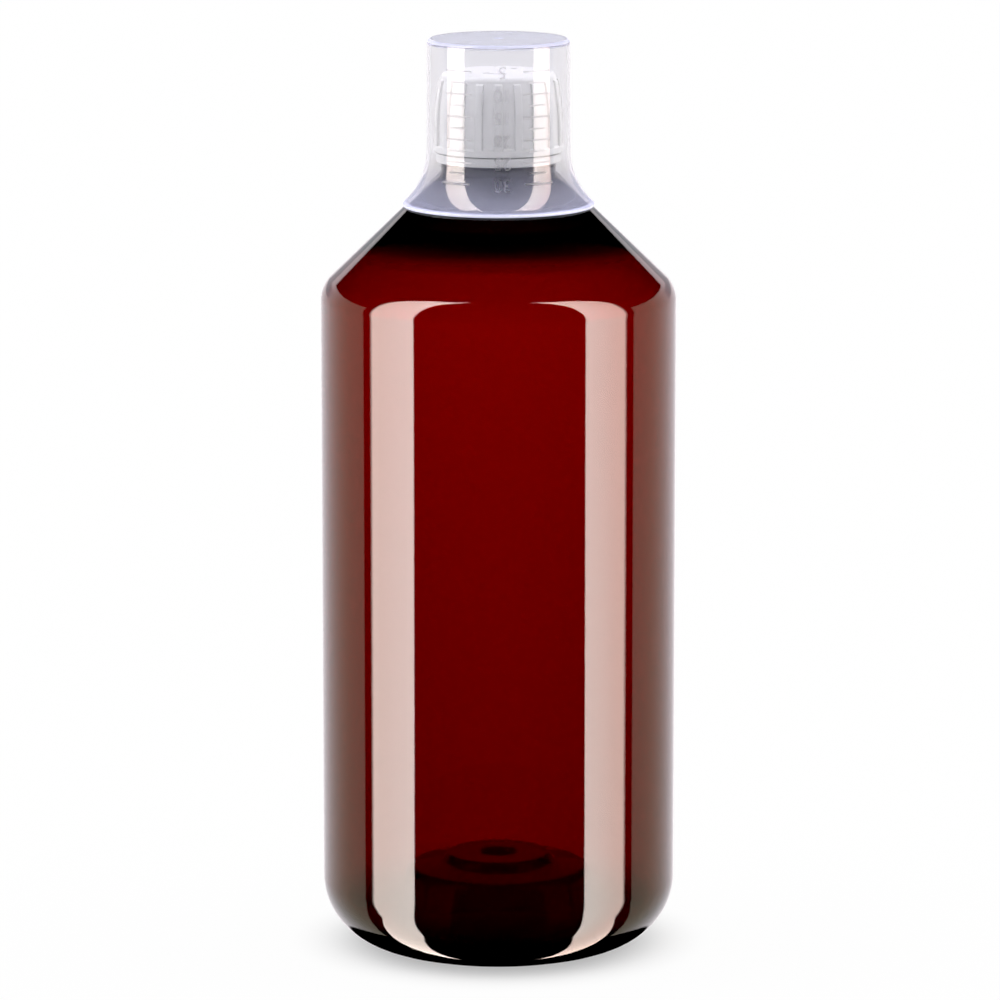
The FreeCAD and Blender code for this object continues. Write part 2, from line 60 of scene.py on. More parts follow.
camera_data = bpy.data.cameras.new("photo_camera")
camera_data.lens = LENS
camera_data.sensor_width = SENSOR_WIDTH
camera = bpy.data.objects.new("photo_camera", camera_data)
camera.location = (
    AIM_SIDE,
    -CAMERA_DISTANCE * math.cos(CAMERA_TILT),
    AIM_HEIGHT + CAMERA_DISTANCE * math.sin(CAMERA_TILT),
)
camera.rotation_euler = (math.pi / 2 - CAMERA_TILT, 0, 0)
bpy.context.scene.collection.objects.link(camera)
bpy.context.scene.camera = camera
bpy.context.scene.view_settings.view_transform = "Standard"
print("camera at", [round(value, 4) for value in camera.location], "lens", LENS)

# %% [markdown]
# Shader maths is easier to read as sums than as boxes and noodles. A small class wraps a
# socket, so that an expression adds its Math nodes, and one method adds any other node.

# %% Socket that can be used in sums
class Socket:
    """A node's output socket. Sums with it add Math nodes to its tree."""

    def __init__(self, tree, socket):
        self.tree = tree
        self.socket = socket

    def other(self, name):
        """Another output of the same node."""
        return Socket(self.tree, self.socket.node.outputs[name])

    def maths(self, operation, *values):
        return self.tree.add("ShaderNodeMath", {"operation": operation}, dict(enumerate(values)))

    def __add__(self, value):
        return self.maths("ADD", self, value)

    def __sub__(self, value):
        return self.maths("SUBTRACT", self, value)

    def __mul__(self, value):
        return self.maths("MULTIPLY", self, value)

    def __rsub__(self, value):
        return self.maths("SUBTRACT", value, self)

    __radd__ = __add__
    __rmul__ = __mul__

    def __abs__(self):
        return self.maths("ABSOLUTE", self)


print("a Socket can be added, taken away, multiplied and made positive")

# %% Node tree that nodes are added to
class Tree:
    """A material's or the world's node tree."""

    def __init__(self, owner):
        owner.use_nodes = True
        self.nodes = owner.node_tree.nodes
        self.links = owner.node_tree.links
        self.nodes.clear()

    def add(self, kind, settings=None, inputs=None, output=0):
        """Add a node. Its settings come first, then its sockets' values or links."""
        node = self.nodes.new(kind)
        for name, value in (settings or {}).items():
            setattr(node, name, value)
        for name, value in (inputs or {}).items():
            if isinstance(value, Socket):
                self.links.new(value.socket, node.inputs[name])
            else:
                node.inputs[name].default_value = value
        return Socket(self, node.outputs[output]) if len(node.outputs) else node

    def soft_step(self, value, low, high):
        """0 below low, 1 above high, with a soft change between them."""
        return self.add(
            "ShaderNodeMapRange",
            {"interpolation_type": "SMOOTHSTEP"},
            {"Value": value, "From Min": low, "From Max": high},
            "Result",
        )

    def blend(self, share, first, second):
        """Mix two colours: the first at share 0, the second at share 1."""
        return self.add(
            "ShaderNodeMix",
            {"data_type": "RGBA"},
            {"Factor": share, 6: first, 7: second},
            2,
        )


print("a Tree adds nodes, soft steps and blends")

# %% [markdown]
# Glossy plastic is drawn by what it mirrors. The photo's bottle mirrors two tall soft boxes
# left and right, black in front and above, and a pale backdrop behind. Real boxes would be
# lamps, but a lamp strong enough for these highlights would burn out the white cap. So the
# world answers by the kind of ray: mirrored rays meet the boxes and the backdrop, light for
# matte surfaces comes from a gentle pale room, and the background is plain white. All of
# it is laid out by angle, so a ray's direction is turned into two angles first.

# %% Directions in the room
world = bpy.data.worlds.new("studio")
bpy.context.scene.world = world
studio = Tree(world)

direction = studio.add("ShaderNodeTexCoord", output="Generated")
split = studio.add("ShaderNodeSeparateXYZ", inputs={"Vector": direction}, output="X")
bearing = split.maths("ARCTAN2", split, split.other("Y") * -1)
turn = abs(bearing)
elevation = split.maths("ARCSINE", split.other("Z"))


def zone(angle, low, high):
    """0 below one angle and 1 above another, both in degrees."""
    return studio.soft_step(angle, math.radians(low), math.radians(high))


print("directions: bearing 0 is the camera's side and grows to the right, elevation 0 is level")

# %% [markdown]
# Some edges follow an angle. Others are straight lines in the room, such as those of a box
# that lies on the table. Seen from the bottle, such a line is a plane: a ray is past it
# where a weighted sum of the ray's three parts is above a limit. Both kinds of edge are
# slightly soft, because a soft box has no knife-sharp edge.

# %% Edges of the boxes and the backdrop
ANGLE_EDGE = math.radians(0.7)
LINE_EDGE = 0.01


def past_angle(angle, place):
    """1 past an edge that follows an angle, given in radians."""
    return studio.soft_step(angle, place - ANGLE_EDGE, place + ANGLE_EDGE)


def past_line(outward, line, shift=0.0):
    """1 past a straight edge. The line gives its plane's parts outward, back and up."""
    out_part, back_part, up_part = line
    parts = outward * out_part + split.other("Y") * back_part + split.other("Z") * up_part
    return studio.soft_step(parts, shift - LINE_EDGE, shift + LINE_EDGE)


print("edges are", round(math.degrees(ANGLE_EDGE) * 2, 1), "degrees wide")

# %% [markdown]
# Each soft box stands at the side, and its top slopes down to the back. Its foot bends
# inward and lies on the table, under and behind the bottle, so that the ends of the two
# long highlights curl round the heel. A box is brighter at its near edge than at its far
# one, and the left box is the brighter and wider of the two.

# %% Shape of a soft box
BOX_FAR = 91.7
FAR_EDGE_IN = 3.0
FAR_EDGE_OUT = 0.6
BOX_TOP = math.radians(96.0)
BOX_TOP_FALL = 0.33
BOX_BEND = math.radians(-35)
FOOT_FROM = (0.754, 0.516, 0.408)
FOOT_TO = (0.276, 0.80, 0.533)
FOOT_TO_SHIFT = -0.035
FOOT_MIDDLE = 0.02
FOOT_CORNER = (0.583, 0.779, 0.231)


def soft_box(side, near, near_light, far_light):
    """A tall soft box on side -1 or 1, from its near bearing: its mask and its light.
    It stands above its bend, and below that its foot lies on the table."""
    across = bearing * side
    outward = split * side
    near_edge = past_angle(across, math.radians(near))
    far_edge = zone(across, BOX_FAR - FAR_EDGE_IN, BOX_FAR + FAR_EDGE_OUT)
    lid = studio.soft_step(elevation + turn * BOX_TOP_FALL, BOX_TOP - ANGLE_EDGE * 2, BOX_TOP)
    standing = (1 - far_edge) * (1 - lid) * past_angle(elevation, BOX_BEND)
    lying = (
        past_line(outward, FOOT_FROM)
        * (1 - past_line(outward, FOOT_TO, FOOT_TO_SHIFT))
        * studio.soft_step(outward, 0.0, FOOT_MIDDLE)
    )
    either = 1 - (1 - standing) * (1 - lying)
    shape = near_edge * past_line(outward, FOOT_CORNER) * either
    return shape, studio.blend(zone(across, near, BOX_FAR), near_light, far_light)


print("a soft box ends at", BOX_FAR, "degrees and bends at", round(math.degrees(BOX_BEND)))

# %% Soft boxes on both sides, for mirrored rays
LEFT_NEAR = 56.5
LEFT_NEAR_LIGHT = (11.6, 10.4, 9.6, 1.0)
LEFT_FAR_LIGHT = (9.4, 8.0, 7.2, 1.0)
RIGHT_NEAR = 58.2
RIGHT_NEAR_LIGHT = (10.6, 9.4, 8.6, 1.0)
RIGHT_FAR_LIGHT = (8.4, 6.4, 5.6, 1.0)

left_box, left_light = soft_box(-1, LEFT_NEAR, LEFT_NEAR_LIGHT, LEFT_FAR_LIGHT)
right_box, right_light = soft_box(1, RIGHT_NEAR, RIGHT_NEAR_LIGHT, RIGHT_FAR_LIGHT)
print("soft boxes from", LEFT_NEAR, "on the left and", RIGHT_NEAR, "on the right")

# %% [markdown]
# Behind the bottle a pale backdrop shows as a glow along its sides. It begins just past
# the boxes and reaches a little above level. Straight behind the bottle it rises high,
# which only roundings that face up and forwards mirror. Just above level it has a greyer
# strip, which the cup's flat end mirrors.

# %% Shape of the backdrop
BACKDROP_FROM = math.radians(98)
BACKDROP_TOP = math.radians(16)
BACKDROP_TOP_RISE = math.radians(62)
BACKDROP_RAISED = (162, 174)
BACKDROP_FOOT = math.radians(-112.4)
BACKDROP_FOOT_RISE = 0.53
TABLE_LINE = (0.0, 0.894, 0.448)
TABLE_SHIFT = -0.02

over = elevation - zone(turn, *BACKDROP_RAISED) * BACKDROP_TOP_RISE
under = elevation - turn * BACKDROP_FOOT_RISE
backdrop = (
    past_angle(turn, BACKDROP_FROM)
    * (1 - past_angle(over, BACKDROP_TOP))
    * past_angle(under, BACKDROP_FOOT)
    * past_line(split, TABLE_LINE, TABLE_SHIFT)
)
print("backdrop from", round(math.degrees(BACKDROP_FROM)), "degrees")

# %% Light of the backdrop, and all that mirrored rays meet
BLACK = (0.0, 0.0, 0.0, 1.0)
SIDE_GLOW = (0.85, 0.74, 0.56, 1.0)
BEHIND_GLOW = (1.15, 1.08, 1.12, 1.0)
BEHIND_FROM = (112, 160)
STRIP_LIGHT = (0.6, 0.6, 0.648, 1.0)
STRIP_FROM = (140, 150)
STRIP_FOOT = (0.5, 1.5)
STRIP_TOP = (9, 11)

strip = (
    zone(turn, *STRIP_FROM)
    * zone(elevation, *STRIP_FOOT)
    * (1 - zone(elevation, *STRIP_TOP))
)
backdrop_light = studio.blend(zone(turn, *BEHIND_FROM), SIDE_GLOW, BEHIND_GLOW)
backdrop_light = studio.blend(strip, backdrop_light, STRIP_LIGHT)
mirrored = studio.blend(backdrop, BLACK, backdrop_light)
mirrored = studio.blend(left_box, mirrored, left_light)
mirrored = studio.blend(right_box, mirrored, right_light)
print("mirrored rays meet black, the backdrop and two boxes")

# %% [markdown]
# Matte surfaces see a pale room. It is bright at the sides and above, a little more so on
# the left, dimmer behind and dim in front, so that the cap's ribs keep their shading.

# %% Room light for matte surfaces
LEFT_COLOUR = (1.66, 1.66, 1.68, 1.0)
RIGHT_COLOUR = (1.54, 1.52, 1.50, 1.0)
LEFT_TO_RIGHT = (-80, 80)
FRONT_COLOUR = (0.30, 0.30, 0.31, 1.0)
FRONT_TO = (40, 75)
BACK_COLOUR = (0.90, 0.90, 0.91, 1.0)
BACK_FROM = (110, 145)
CEILING_FROM = (50, 75)

low = 1 - zone(elevation, *CEILING_FROM)
front = low * (1 - zone(turn, *FRONT_TO))
back = low * zone(turn, *BACK_FROM)
room = studio.blend(zone(bearing, *LEFT_TO_RIGHT), LEFT_COLOUR, RIGHT_COLOUR)
room = studio.blend(front, room, FRONT_COLOUR)
room = studio.blend(back, room, BACK_COLOUR)
print("room light from four sides")

# %% [markdown]
# The Light Path node tells what a ray has met before it reaches the world. The camera, and
# rays from it that have only passed through clear plastic, see plain white. Two things
# are corrected here. A ray that has crossed three or more clear faces would draw a soft
# box as a red column beside the base's push-up, so the boxes are dimmed for it. Light on
# its way through clear plastic to a matte surface is mostly lost in rendering, so it is
# raised, to keep the cap white under the cup.

# %% World that answers by the kind of ray
WHITE = (1.0, 1.0, 1.0, 1.0)
DEEP_GLINT_LOSS = 0.88
COVERED_GAIN = 3.1

path = studio.add("ShaderNodeLightPath", output="Is Camera Ray")


def at_least(count, kind):
    """1 for a ray that has met this many surfaces of a kind."""
    return path.maths("GREATER_THAN", path.other(kind + " Depth"), count - 0.5)


matte_before = at_least(1, "Diffuse")
mirror_before = at_least(1, "Glossy")
mirror_ray = path.other("Is Glossy Ray") * mirror_before * (1 - matte_before)
clear_ray = path.other("Is Transmission Ray") * (1 - mirror_before) * (1 - matte_before)
covered_matte = path.other("Is Transmission Ray") * matte_before
deep_glint = at_least(3, "Transmission") * (left_box + right_box) * DEEP_GLINT_LOSS
mirrored = studio.blend(deep_glint, mirrored, BLACK)
light = studio.blend(mirror_ray, room, mirrored)
light = studio.blend(path + clear_ray, light, WHITE)
sky = studio.add("ShaderNodeBackground", inputs={
    "Color": light, "Strength": 1 + covered_matte * (COVERED_GAIN - 1)})
studio.add("ShaderNodeOutputWorld", inputs={"Surface": sky})
print("world nodes:", len(studio.nodes))

# %% [markdown]
# The six finishes all begin alike: a new material, its node tree, and the place on the
# piece that its pattern follows. Object coordinates go with a piece when it moves, so
# that no pattern slides over it.

# %% Start of a finish
def new_finish(name):
    """A new material, its tree, and the place on the piece that patterns follow."""
    material = bpy.data.materials.new(name)
    tree = Tree(material)
    return material, tree, tree.add("ShaderNodeTexCoord", output="Object")


print("new_finish gives a material, a tree and a place")

# %% [markdown]
# The floor is a wide pale sheet. Camera rays see plain white there, and only the shadow
# close under the heel is kept for them, as in the photo. Mirrored rays pass the floor by,
# so that the heel mirrors the feet of the soft boxes.

# %% Paper for the floor
FLOOR_COLOUR = (0.87, 0.87, 0.87, 1.0)
SHADOW_REACH = (0.030, 0.054)
SHADOW_SHARE = 0.55
WHITE_PAST_SHADOW = 0.94

pale_floor, paper, paper_place = new_finish("pale_floor")
paper_grain = paper.add("ShaderNodeTexNoise", inputs={"Vector": paper_place, "Scale": 60.0})
paper_shade = paper.add("ShaderNodeBsdfPrincipled", inputs={
    "Base Color": FLOOR_COLOUR, "Roughness": 0.7 + paper_grain * 0.1, "Specular IOR Level": 0.0})
white_light = paper.add("ShaderNodeEmission", inputs={"Color": WHITE, "Strength": 1.0})
from_axis = paper.add("ShaderNodeVectorMath", {"operation": "LENGTH"}, {0: paper_place}, "Value")
past_shadow = paper.soft_step(from_axis, *SHADOW_REACH)
whitened = 1 - (1 - past_shadow * WHITE_PAST_SHADOW) * SHADOW_SHARE
seen_white = paper.add("ShaderNodeLightPath", output="Is Camera Ray") * whitened
paper_surface = paper.add("ShaderNodeMixShader", inputs={
    0: seen_white, 1: paper_shade, 2: white_light})
paper.add("ShaderNodeOutputMaterial", inputs={"Surface": paper_surface})
print("shadow kept within", SHADOW_REACH[1], "metres of the axis")

# %% Floor
FLOOR_RADIUS = 5.0
FLOOR_SEGMENTS = 96

floor_mesh = bmesh.new()
bmesh.ops.create_circle(
    floor_mesh, cap_ends=True, segments=FLOOR_SEGMENTS, radius=FLOOR_RADIUS)
floor_data = bpy.data.meshes.new("floor")
floor_mesh.to_mesh(floor_data)
floor_mesh.free()
floor_data.materials.append(pale_floor)
floor = bpy.data.objects.new("floor", floor_data)
bpy.context.scene.collection.objects.link(floor)
floor.visible_glossy = False
print("floor radius", FLOOR_RADIUS)

# %% [markdown]
# Every piece here is round, so each starts as a thin wire profile beside the axis. A real
# mould has no sharp corners. Bevelling a wire's corner gives a true arc when the offset is
# the radius times the tangent of half the turn. A flare or a bowed wall is a longer arc,
# and a spin of one point draws it between two corners.

# %% Arcs in a wire
MM = 0.001
ARC_STEPS = 24
FEWEST_SEGMENTS = 6
SEGMENT_DEGREES = 5


def bow(mesh, first, second, radius):
    """Join two points with an arc. Its centre is on the left of the way if radius > 0."""
    chord = second.co - first.co
    left = Vector((-chord.z, 0, chord.x)).normalized()
    half_turn = math.asin(chord.length / abs(radius) / 2)
    centre = (first.co + second.co) / 2 + left * radius * math.cos(half_turn)
    made = bmesh.ops.spin(
        mesh, geom=[first], cent=centre, axis=(0, 1, 0),
        angle=-math.copysign(half_turn * 2, radius), steps=ARC_STEPS)
    last = [item for item in made["geom_last"] if isinstance(item, bmesh.types.BMVert)]
    bmesh.ops.pointmerge(mesh, verts=[second] + last, merge_co=second.co)


def round_corner(mesh, point, radius):
    """Round one corner of a wire with a true arc."""
    arms = [edge.other_vert(point).co - point.co for edge in point.link_edges]
    corner_turn = math.pi - arms[0].angle(arms[1])
    segments = max(FEWEST_SEGMENTS, round(math.degrees(corner_turn) / SEGMENT_DEGREES))
    bmesh.ops.bevel(
        mesh, geom=[point], offset=radius * math.tan(corner_turn / 2), offset_type="OFFSET",
        segments=segments, profile=0.5, affect="VERTICES", material=-1, clamp_overlap=False)


print("arcs of", ARC_STEPS, "steps, roundings of at least", FEWEST_SEGMENTS, "segments")

# %% Wire profile
def profile(corners, closed=False):
    """A wire through corners of (radius, height, rounding), in millimetres. A corner's
    fourth number bows the wire to the next corner, with that radius."""
    mesh = bmesh.new()
    points = [mesh.verts.new((corner[0] * MM, 0, corner[1] * MM)) for corner in corners]
    following = points[1:] + points[:1] if closed else points[1:]
    for corner, first, second in zip(corners, points, following):
        if len(corner) > 3:
            bow(mesh, first, second, corner[3] * MM)
        else:
            mesh.edges.new((first, second))
    for point, corner in zip(points, corners):
        if corner[2]:
            round_corner(mesh, point, corner[2] * MM)
    return mesh


print("a profile takes corners of radius, height and rounding")

# %% [markdown]
# A spin sweeps the profile into a solid. A full turn needs its seam and its poles merged,
# and then its normals set again, because a spin can turn a shape inside out. Part of a
# turn starts from a filled profile, so that both its ends are closed.

# %% Solids from profiles
TURN_STEPS = 256
MERGE_DISTANCE = 1e-6


def spin_round(mesh, steps=TURN_STEPS):
    """Sweep a wire all round the upright axis, and close its seam and its poles."""
    bmesh.ops.spin(
        mesh, geom=mesh.verts[:] + mesh.edges[:], cent=(0, 0, 0), axis=(0, 0, 1),
        angle=math.tau, steps=steps, use_merge=True)
    bmesh.ops.remove_doubles(mesh, verts=mesh.verts, dist=MERGE_DISTANCE)
    bmesh.ops.recalc_face_normals(mesh, faces=mesh.faces)


def sweep_solid(corners, start, angle, steps, rise=0.0):
    """Sweep a closed profile part of the way round, rising on its way if asked."""
    mesh = profile(corners, closed=True)
    bmesh.ops.contextual_create(mesh, geom=mesh.edges[:])
    bmesh.ops.rotate(
        mesh, verts=mesh.verts, cent=(0, 0, 0), matrix=Matrix.Rotation(start, 3, "Z"))
    bmesh.ops.spin(
        mesh, geom=mesh.verts[:] + mesh.edges[:] + mesh.faces[:], cent=(0, 0, 0),
        axis=(0, 0, 1), angle=angle, dvec=(0, 0, rise * MM / steps), steps=steps)
    bmesh.ops.recalc_face_normals(mesh, faces=mesh.faces)
    return mesh


print("a full turn has", TURN_STEPS, "steps")

# %% [markdown]
# A finished piece stays at the origin, with its place in its mesh, and rides on a body of
# the CAD model. Its faces are shaded smooth, apart from its sharp edges. A CAD shape that
# is right as it is only gets its finish.

# %% Finished pieces
SHARP_ANGLE = math.radians(30)


def join(mesh, others):
    """Add other meshes to this one, and free them."""
    for other in others:
        data = bpy.data.meshes.new("joined")
        other.to_mesh(data)
        other.free()
        mesh.from_mesh(data)
        bpy.data.meshes.remove(data)


def finish_piece(mesh, name, body, material):
    """Make the piece an object that rides on a CAD body, with smooth faces."""
    for face in mesh.faces:
        face.smooth = True
    for edge in mesh.edges:
        if len(edge.link_faces) == 2 and edge.calc_face_angle() > SHARP_ANGLE:
            edge.smooth = False
    data = bpy.data.meshes.new(name)
    mesh.to_mesh(data)
    mesh.free()
    data.materials.append(material)
    piece = bpy.data.objects.new(name, data)
    bpy.context.scene.collection.objects.link(piece)
    normals = piece.modifiers.new("even_normals", "WEIGHTED_NORMAL")
    normals.mode = "FACE_AREA"
    normals.keep_sharp = True
    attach(piece, body)
    print(name, "has", len(data.polygons), "faces")
    return piece


def dress(node, material):
    """Give a CAD node its finish, and leave its mesh as it is."""
    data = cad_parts[node].data
    data.materials.clear()
    data.materials.append(material)
    print(node, "has", material.name)


print("edges over", round(math.degrees(SHARP_ANGLE)), "degrees stay sharp")

# %% [markdown]
# Amber bottle plastic is clear, with its colour all through the wall. Volume absorption
# gives that: thin walls glow red, thick ones at the neck and under the base go black. The
# surface is polished, and blowing leaves it very slightly uneven, which a faint bump shows.

# %% Amber plastic
AMBER_INDEX = 1.57
AMBER_DENSITY = 9000.0
AMBER_COLOUR = (0.829, 0.094, 0.017, 1.0)

amber, amber_tree, amber_place = new_finish("amber_plastic")
amber_waves = amber_tree.add("ShaderNodeTexNoise", inputs={
    "Vector": amber_place, "Scale": 22.0, "Detail": 2.0})
amber_bump = amber_tree.add("ShaderNodeBump", inputs={
    "Strength": 0.02, "Distance": 0.001, "Height": amber_waves})
amber_shade = amber_tree.add("ShaderNodeBsdfPrincipled", inputs={
    "Base Color": WHITE,
    "Roughness": 0.0,
    "IOR": AMBER_INDEX,
    "Transmission Weight": 1.0,
    "Normal": amber_bump,
})
amber_inside = amber_tree.add("ShaderNodeVolumeAbsorption", inputs={
    "Color": AMBER_COLOUR, "Density": AMBER_DENSITY})
amber_tree.add("ShaderNodeOutputMaterial", inputs={
    "Surface": amber_shade, "Volume": amber_inside})
lost = [round(AMBER_DENSITY * (1 - value)) for value in AMBER_COLOUR[:3]]
print("amber takes away red, green and blue at", lost, "per metre")

# %% [markdown]
# The bottle is one wall from the pushed-up base to the neck. The profile runs up the
# outside and down the inside, so the spin gives a closed shell with a real thickness,
# which refraction and absorption need. Its corners are listed on that way: the base, the
# straight body, the neck with its ring and its bead for the tamper band, and then the
# inside from the rim to the base. The thread is a ridge that rises as it turns.

# %% Bottle wall
BASE_OUTSIDE = [
    (0, 14.0, 0), (6.5, 14.0, 1.5), (6.5, 19.0, 0), (11.0, 19.0, 2.0), (20.2, 16.0, 3.0),
    (23.5, 0, 1.6),
]
BODY_OUTSIDE = [(44.0, 0, 17.0), (44.0, 166.2, 7.2)]
NECK_OUTSIDE = [
    (14.2, 195.0, 0.15), (14.2, 196.6, 0.15), (12.5, 196.6, 0), (12.5, 199.8, 0),
    (13.75, 199.8, 0), (13.75, 200.25, 0), (12.5, 201.25, 0), (12.5, 217.1, 0.4),
]
NECK_INSIDE = [(10.75, 217.1, 0.4), (10.75, 194.37, 4.0)]
SHOULDER_INSIDE = [(24.1, 181.47, 4.0), (31.6, 177.35, 45.0), (43.5, 165.95, 6.7)]
BASE_INSIDE = [
    (43.3, 3.2, 13.8), (26.7, 3.2, 1.6), (23.2, 19.0, 3.0), (14.2, 20.5, 0),
    (12.7, 22.4, 1.5), (4.1, 22.4, 1.0), (4.1, 16.4, 1.0), (0, 16.4, 0),
]

bottle_mesh = profile(
    BASE_OUTSIDE + BODY_OUTSIDE + NECK_OUTSIDE + NECK_INSIDE + SHOULDER_INSIDE + BASE_INSIDE)
spin_round(bottle_mesh)
print("bottle wall has", len(bottle_mesh.verts), "points")

# %% Thread on the neck, and the bottle put together
THREAD_PITCH = 3.0
THREAD_TURNS = 1.5
THREAD_STEPS = 144
NECK_RIDGE = [(12.2, 203.65, 0), (13.7, 204.15, 0), (13.7, 205.05, 0), (12.2, 205.55, 0)]


def thread(ridge):
    """A ridge that rises by one pitch a turn."""
    return sweep_solid(
        ridge, 0, math.tau * THREAD_TURNS, THREAD_STEPS, THREAD_PITCH * THREAD_TURNS)


join(bottle_mesh, [thread(NECK_RIDGE)])
bottle = finish_piece(bottle_mesh, "amber_bottle", "bottle", amber)
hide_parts("bottle")

# %% [markdown]
# The measuring cup is moulded in thin clear plastic with a cool lilac tint and a little
# haze. Most light passes straight on, so the cap inside shows, and refraction draws the
# dark and bright lines along the cup's edges. The haze is a matte lilac share, mixed in
# by height: a trace on the wall, more towards the lip, and most at the lip's edge and
# round the closed end. There a painted glow, a faint emission, stands in for light that
# runs inside the plastic and comes out at its edges.
# The zones' heights are in metres, as Object coordinates are.

# %% Zones of haze on the cup
CUP_INDEX = 1.49
WALL_HAZE = 0.045
FLARE_HAZE = 0.24
FLARE_UP = (0.1865, 0.2)
LIP_HAZE = 0.68
LIP_UP = (0.1868, 0.1871)
END_HAZE = 0.12
END_UP = (0.2266, 0.2269)
RIM_HAZE = 0.6
RIM_FROM = (0.22695, 0.22705)
RIM_TO = (0.2277, 0.22779)

cup_plastic, cup_tree, cup_place = new_finish("cup_plastic")
cup_up = cup_tree.add("ShaderNodeSeparateXYZ", inputs={"Vector": cup_place}, output="Z")
flare_share = 1 - cup_tree.soft_step(cup_up, *FLARE_UP)
lip_share = 1 - cup_tree.soft_step(cup_up, *LIP_UP)
end_share = cup_tree.soft_step(cup_up, *END_UP)
rim_share = cup_tree.soft_step(cup_up, *RIM_FROM) * (1 - cup_tree.soft_step(cup_up, *RIM_TO))
haze_share = (
    flare_share * FLARE_HAZE
    + lip_share * LIP_HAZE
    + end_share * END_HAZE
    + rim_share * RIM_HAZE
    + WALL_HAZE
)
most_haze = round(WALL_HAZE + FLARE_HAZE + LIP_HAZE, 3)
print("haze from", WALL_HAZE, "on the wall to", most_haze, "at the lip")

# %% Clear cup plastic
CUP_COLOUR = (0.938, 0.932, 0.946, 1.0)
HAZE_COLOUR = (0.74, 0.75, 0.98, 1.0)
PAINTED_LIP_GLOW = (0.3, 0.3, 0.32, 1.0)
PAINTED_RIM_GLOW_SHARE = 0.6

cup_flow = cup_tree.add("ShaderNodeTexNoise", inputs={
    "Vector": cup_place, "Scale": 60.0, "Detail": 2.0})
cup_bump = cup_tree.add("ShaderNodeBump", inputs={
    "Strength": 0.03, "Distance": 0.001, "Height": cup_flow})
cup_shade = cup_tree.add("ShaderNodeBsdfPrincipled", inputs={
    "Base Color": CUP_COLOUR,
    "Roughness": 0.02,
    "IOR": CUP_INDEX,
    "Transmission Weight": 1.0,
    "Normal": cup_bump,
})
# Painted glow: a faint emission on the lip's edge and round the closed end.
glow = cup_tree.blend(lip_share + rim_share * PAINTED_RIM_GLOW_SHARE, BLACK, PAINTED_LIP_GLOW)
cup_haze = cup_tree.add("ShaderNodeBsdfPrincipled", inputs={
    "Base Color": HAZE_COLOUR,
    "Roughness": 0.4 + cup_flow * 0.1,
    "IOR": CUP_INDEX,
    "Emission Color": glow,
    "Emission Strength": 1.0,
})
cup_surface = cup_tree.add("ShaderNodeMixShader", inputs={
    0: haze_share, 1: cup_shade, 2: cup_haze})
cup_tree.add("ShaderNodeOutputMaterial", inputs={"Surface": cup_surface})
print("cup plastic has", len(cup_tree.nodes), "nodes")

# %% [markdown]
# The cup stands upside down over the cap, and its flared lip rests on the bottle's cone.
# Its closed end has a small dimple where the mould was filled.

# %% Dosing cup
WAIST = (17.75, 200.26)
CUP_TOP = (17.6, 227.8)
FLARE_RADIUS = 17.7
INSIDE_FLARE_RADIUS = -18.5
CUP_STEPS = 192

cup_mesh = profile([
    (0, 227.55, 0), (0.9, 227.55, 0), (1.3, 227.8, 0), (*CUP_TOP, 1.1),
    (*WAIST, 0, FLARE_RADIUS), (23.95, 186.8, 0.35),
    (23.43, 186.2, 0.35, INSIDE_FLARE_RADIUS), (16.95, 200.26, 0),
    (16.8, 226.9, 0.6), (0, 226.9, 0),
])
spin_round(cup_mesh, CUP_STEPS)
cup = finish_piece(cup_mesh, "measuring_cup", "dosing_cup", cup_plastic)
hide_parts("dosing_cup")

# %% [markdown]
# The cup's scale is moulded on its outside: short raised lines and plain numbers, upside
# down here because the cup is. Its inside is a little under 17 millimetres in radius, so
# 5 millilitres fill 5.6 millimetres of height. The marks are frosted, and catch light.

# %% Frosted marks
mark_plastic, mark_tree, mark_place = new_finish("mark_plastic")
mark_grain = mark_tree.add("ShaderNodeTexNoise", inputs={"Vector": mark_place, "Scale": 900.0})
mark_shade = mark_tree.add("ShaderNodeBsdfPrincipled", inputs={
    "Base Color": (0.98, 0.97, 0.98, 1.0),
    "Roughness": 0.3 + mark_grain * 0.2,
    "IOR": CUP_INDEX,
    "Transmission Weight": 1.0,
})
mark_tree.add("ShaderNodeOutputMaterial", inputs={"Surface": mark_shade})
print("frosted mark plastic ready")

# %% Raised lines
MARK_DEPTH = 0.15
MARK_SINK = 0.08
LINE_WIDTH = 0.4
LINE_STEPS = 10


def cup_radius(up):
    """Outside radius of the cup at a height, in millimetres."""
    if up > WAIST[1]:
        return WAIST[0] - (up - WAIST[1]) * (WAIST[0] - CUP_TOP[0]) / (CUP_TOP[1] - WAIST[1])
    drop = WAIST[1] - up
    return WAIST[0] + FLARE_RADIUS - math.sqrt(FLARE_RADIUS ** 2 - drop ** 2)


def scale_line(up, bearing_deg, width_deg):
    """A raised line round part of the cup. Bearing 0 faces the camera."""
    low, high = up - LINE_WIDTH / 2, up + LINE_WIDTH / 2
    start = math.radians(bearing_deg - width_deg / 2 - 90)
    return sweep_solid([
        (cup_radius(low) - MARK_SINK, low, 0), (cup_radius(low) + MARK_DEPTH, low, 0),
        (cup_radius(high) + MARK_DEPTH, high, 0), (cup_radius(high) - MARK_SINK, high, 0),
    ], start, math.radians(width_deg), LINE_STEPS)


print("cup radius at the waist", round(cup_radius(WAIST[1]), 2), "mm")

# %% [markdown]
# A number starts as flat text with a little thickness. It is made a mesh first, and then
# each point is laid round the cup. The text's width becomes an angle that runs to the
# left, and its height runs downwards, which turns it upside down, as on the real cup.

# %% Raised numbers
NUMBER_SIZE = 4.4
NUMBER_CURVE_STEPS = 3


